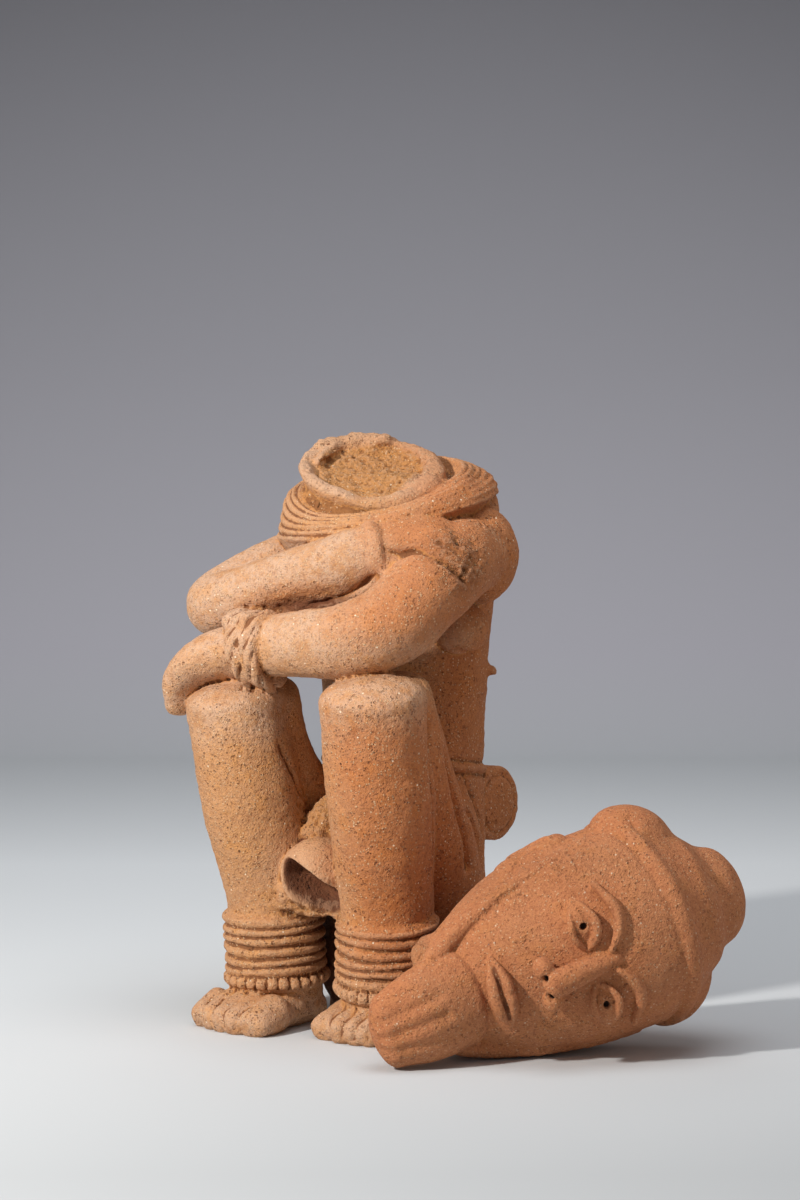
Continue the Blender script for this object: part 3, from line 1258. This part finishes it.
# %% [markdown]
# ## Make the two fragments
#
# The order matters: fuse, carve, say where the weather bites, let it bite, and only then read the hollows,
# because earth settles in the marks that the weather left too.

# %% The body
body = Clay(fuse("body", body_shapes(), BODY_GRID))
carve_body(body)
paint_body(body)
weather(body)
read_hollows(body)
body.points -= (0.0, SEAT_Y, 0.0)
hand_over(body, "clay_figure", "seated_body", Matrix.Identity(4), 0.0, body_clay)

# %% The head
HEAD_TURN, HEAD_PITCH, HEAD_SPIN = (math.radians(angle) for angle in (42.0, 72.0, 5.0))
FLAT_SPOT = 1.2  # how much the ground has worn off the head's underside

head = Clay(fuse("head", head_shapes(), HEAD_GRID))
head.soften(np.clip((head.points[:, 2] - 136) / 8, 0, 1), 90)
carve_head(head)
paint_head(head)
weather(head, lumps=0.4, grain=0.10, hollows=0.22, ruin=1.0, unit_size=0.9)
read_hollows(head)
lay_down = Matrix.Rotation(HEAD_TURN, 4, "Z") @ Matrix.Rotation(HEAD_PITCH, 4, "Y")
lay_down = lay_down @ Matrix.Rotation(HEAD_SPIN, 4, "Z")
lowest = (head.points @ np.array(lay_down.to_3x3()).T)[:, 2].min()
hand_over(head, "clay_head", "broken_head", lay_down, lowest + FLAT_SPOT, head_clay)

# %% [markdown]
# ## Studio
#
# A pale floor runs up into a grey wall in one sweep, so there is no edge behind the object. The paper is
# palest on the floor behind the object and darkens up the wall. The sweep is a profile, floor then quarter
# circle then wall, drawn out sideways.

# %% Backdrop
VIEW_TURN = math.radians(35.0)  # the camera stands this far round to the figure's left
ahead = np.array([-math.sin(VIEW_TURN), math.cos(VIEW_TURN), 0.0])
right = np.array([math.cos(VIEW_TURN), math.sin(VIEW_TURN), 0.0])
NEAR, FAR, CURVE, TOP = -6.0, 1.65, 0.5, 4.0  # metres: ends of the floor, radius of the curve, wall's top
# shade of the paper at a distance along it, in metres from under the object: floor, then curve and wall
FLOOR_SHADES = [(-0.45, 0.48), (0.1, 0.73), (0.7, 0.88), (1.65, 0.72)]
WALL_SHADES = [(2.0, 0.58), (2.4, 0.45), (3.0, 0.22)]
FLOOR_TINT, WALL_TINT = np.array([0.965, 1.0, 1.02]), np.array([1.015, 1.0, 1.085])


def sweep(half_width=5.0):
    """The profile in (distance ahead, height): a straight floor, an arc, a straight wall. `run` is the length
    along the profile, counted from under the object."""
    arc = np.linspace(0.0, math.pi / 2, 40)[1:]
    out = np.concatenate([np.linspace(NEAR, FAR, 30), FAR + CURVE * np.sin(arc), np.full(20, FAR + CURVE)])
    rise = np.concatenate([np.zeros(30), CURVE - CURVE * np.cos(arc), np.linspace(CURVE, TOP, 21)[1:]])
    run = NEAR + np.concatenate([[0.0], np.cumsum(np.hypot(np.diff(out), np.diff(rise)))])
    across = np.linspace(-half_width, half_width, 30)
    points = out[:, None, None] * ahead + across[None, :, None] * right + rise[:, None, None] * Z_AXIS
    m, n = len(out), len(across)
    i, j = np.arange(m - 1)[:, None], np.arange(n - 1)[None, :]
    quads = np.stack([i * n + j, i * n + j + 1, (i + 1) * n + j + 1, (i + 1) * n + j], -1)
    return points.reshape(-1, 3), quads.reshape(-1, 4), np.repeat(run, n)


def paper():
    """Graduated paper: pale on the floor, and a deeper grey with every step up the wall."""
    m = Recipe("graduated_paper")
    rows = [(run, shade * FLOOR_TINT) for run, shade in FLOOR_SHADES]
    rows += [(run, shade * WALL_TINT) for run, shade in WALL_SHADES]
    first, length = rows[0][0], rows[-1][0] - rows[0][0]
    stops = [((run - first) / length, colour) for run, colour in rows]
    along = (m.mask("run") - first) * (1.0 / length)
    shade = m.node("ShaderNodeValToRGB", {"stops": stops}, {0: along})
    return m.finish(**{"Base Color": shade, "Roughness": 0.9})


points, quads, run = sweep()
floor_mesh = bpy.data.meshes.new("backdrop")
floor_mesh.from_pydata(points.tolist(), [], quads.tolist())
floor_mesh.attributes.new("run", "FLOAT", "POINT").data.foreach_set("value", run.astype(np.float32))
floor_mesh.shade_smooth()
floor_mesh.materials.append(paper())
floor = add_object("backdrop", floor_mesh)

# %% [markdown]
# ## Light
#
# One fairly small lamp stands low to the front left and casts the clear shadows to the right. A broad panel
# above and the grey surroundings fill them, so that the dark sides keep their colour. A weak warm lamp
# stands in for light thrown back from the side, and one more lamp lights the floor behind the object.


# %% Lamps
def lamp(name, kind, spot, target, power, colour, **settings):
    light = bpy.data.lights.new(name, kind)
    light.energy = power
    light.color = colour
    for setting, value in settings.items():
        setattr(light, setting, value)
    holder = add_object(name, light)
    holder.location = Vector(spot)
    holder.rotation_euler = (Vector(target) - Vector(spot)).to_track_quat("-Z", "Y").to_euler()


TARGET = np.array([0.05, 0.0, 0.12])


def around(turn, rise, distance):
    """A place seen from the object: `turn` to the left of the camera and `rise` above the floor, in
    degrees."""
    turn, rise = math.radians(turn), math.radians(rise)
    level = -ahead * math.cos(turn) - right * math.sin(turn)
    return TARGET + distance * (level * math.cos(rise) + Z_AXIS * math.sin(rise))


lamp("key", "AREA", around(46, 29, 1.4), TARGET, 18.6, (1.0, 0.97, 0.93), shape="DISK", size=0.09)
lamp("top panel", "AREA", around(-20, 75, 1.6), TARGET, 11.0, (0.93, 0.96, 1.0), shape="DISK", size=1.2)
lamp("warm side", "AREA", around(-80, 12, 1.6), TARGET, 2.5, (1.0, 0.72, 0.5), shape="DISK", size=1.0)
BEHIND = 1.2 * ahead
lamp("far floor", "AREA", BEHIND + 1.5 * Z_AXIS, BEHIND, 3.2, (0.96, 0.98, 1.0), shape="DISK", size=1.0)

world = bpy.data.worlds.new("studio")
bpy.context.scene.world = world
world.use_nodes = True
world.node_tree.nodes["Background"].inputs[0].default_value = (0.86, 0.88, 0.93, 1.0)
world.node_tree.nodes["Background"].inputs[1].default_value = 0.25
bpy.context.scene.view_settings.view_transform = "Standard"

# %% [markdown]
# ## Camera
#
# An 85 mm lens about two metres away, a little below the top of the figure's neck and tipped slightly down.

# %% Camera
CAMERA_AT = (1.0677, -1.5339, 0.353)
CAMERA_DOWN = math.radians(2.5)

lens = bpy.data.cameras.new("camera")
lens.lens = 85.0
lens.sensor_width = 36.0
camera = add_object("camera", lens)
camera.location = CAMERA_AT
camera.rotation_euler = (math.pi / 2 - CAMERA_DOWN, 0.0, VIEW_TURN)
bpy.context.scene.camera = camera

# %% Hand in
bpy.context.view_layer.update()
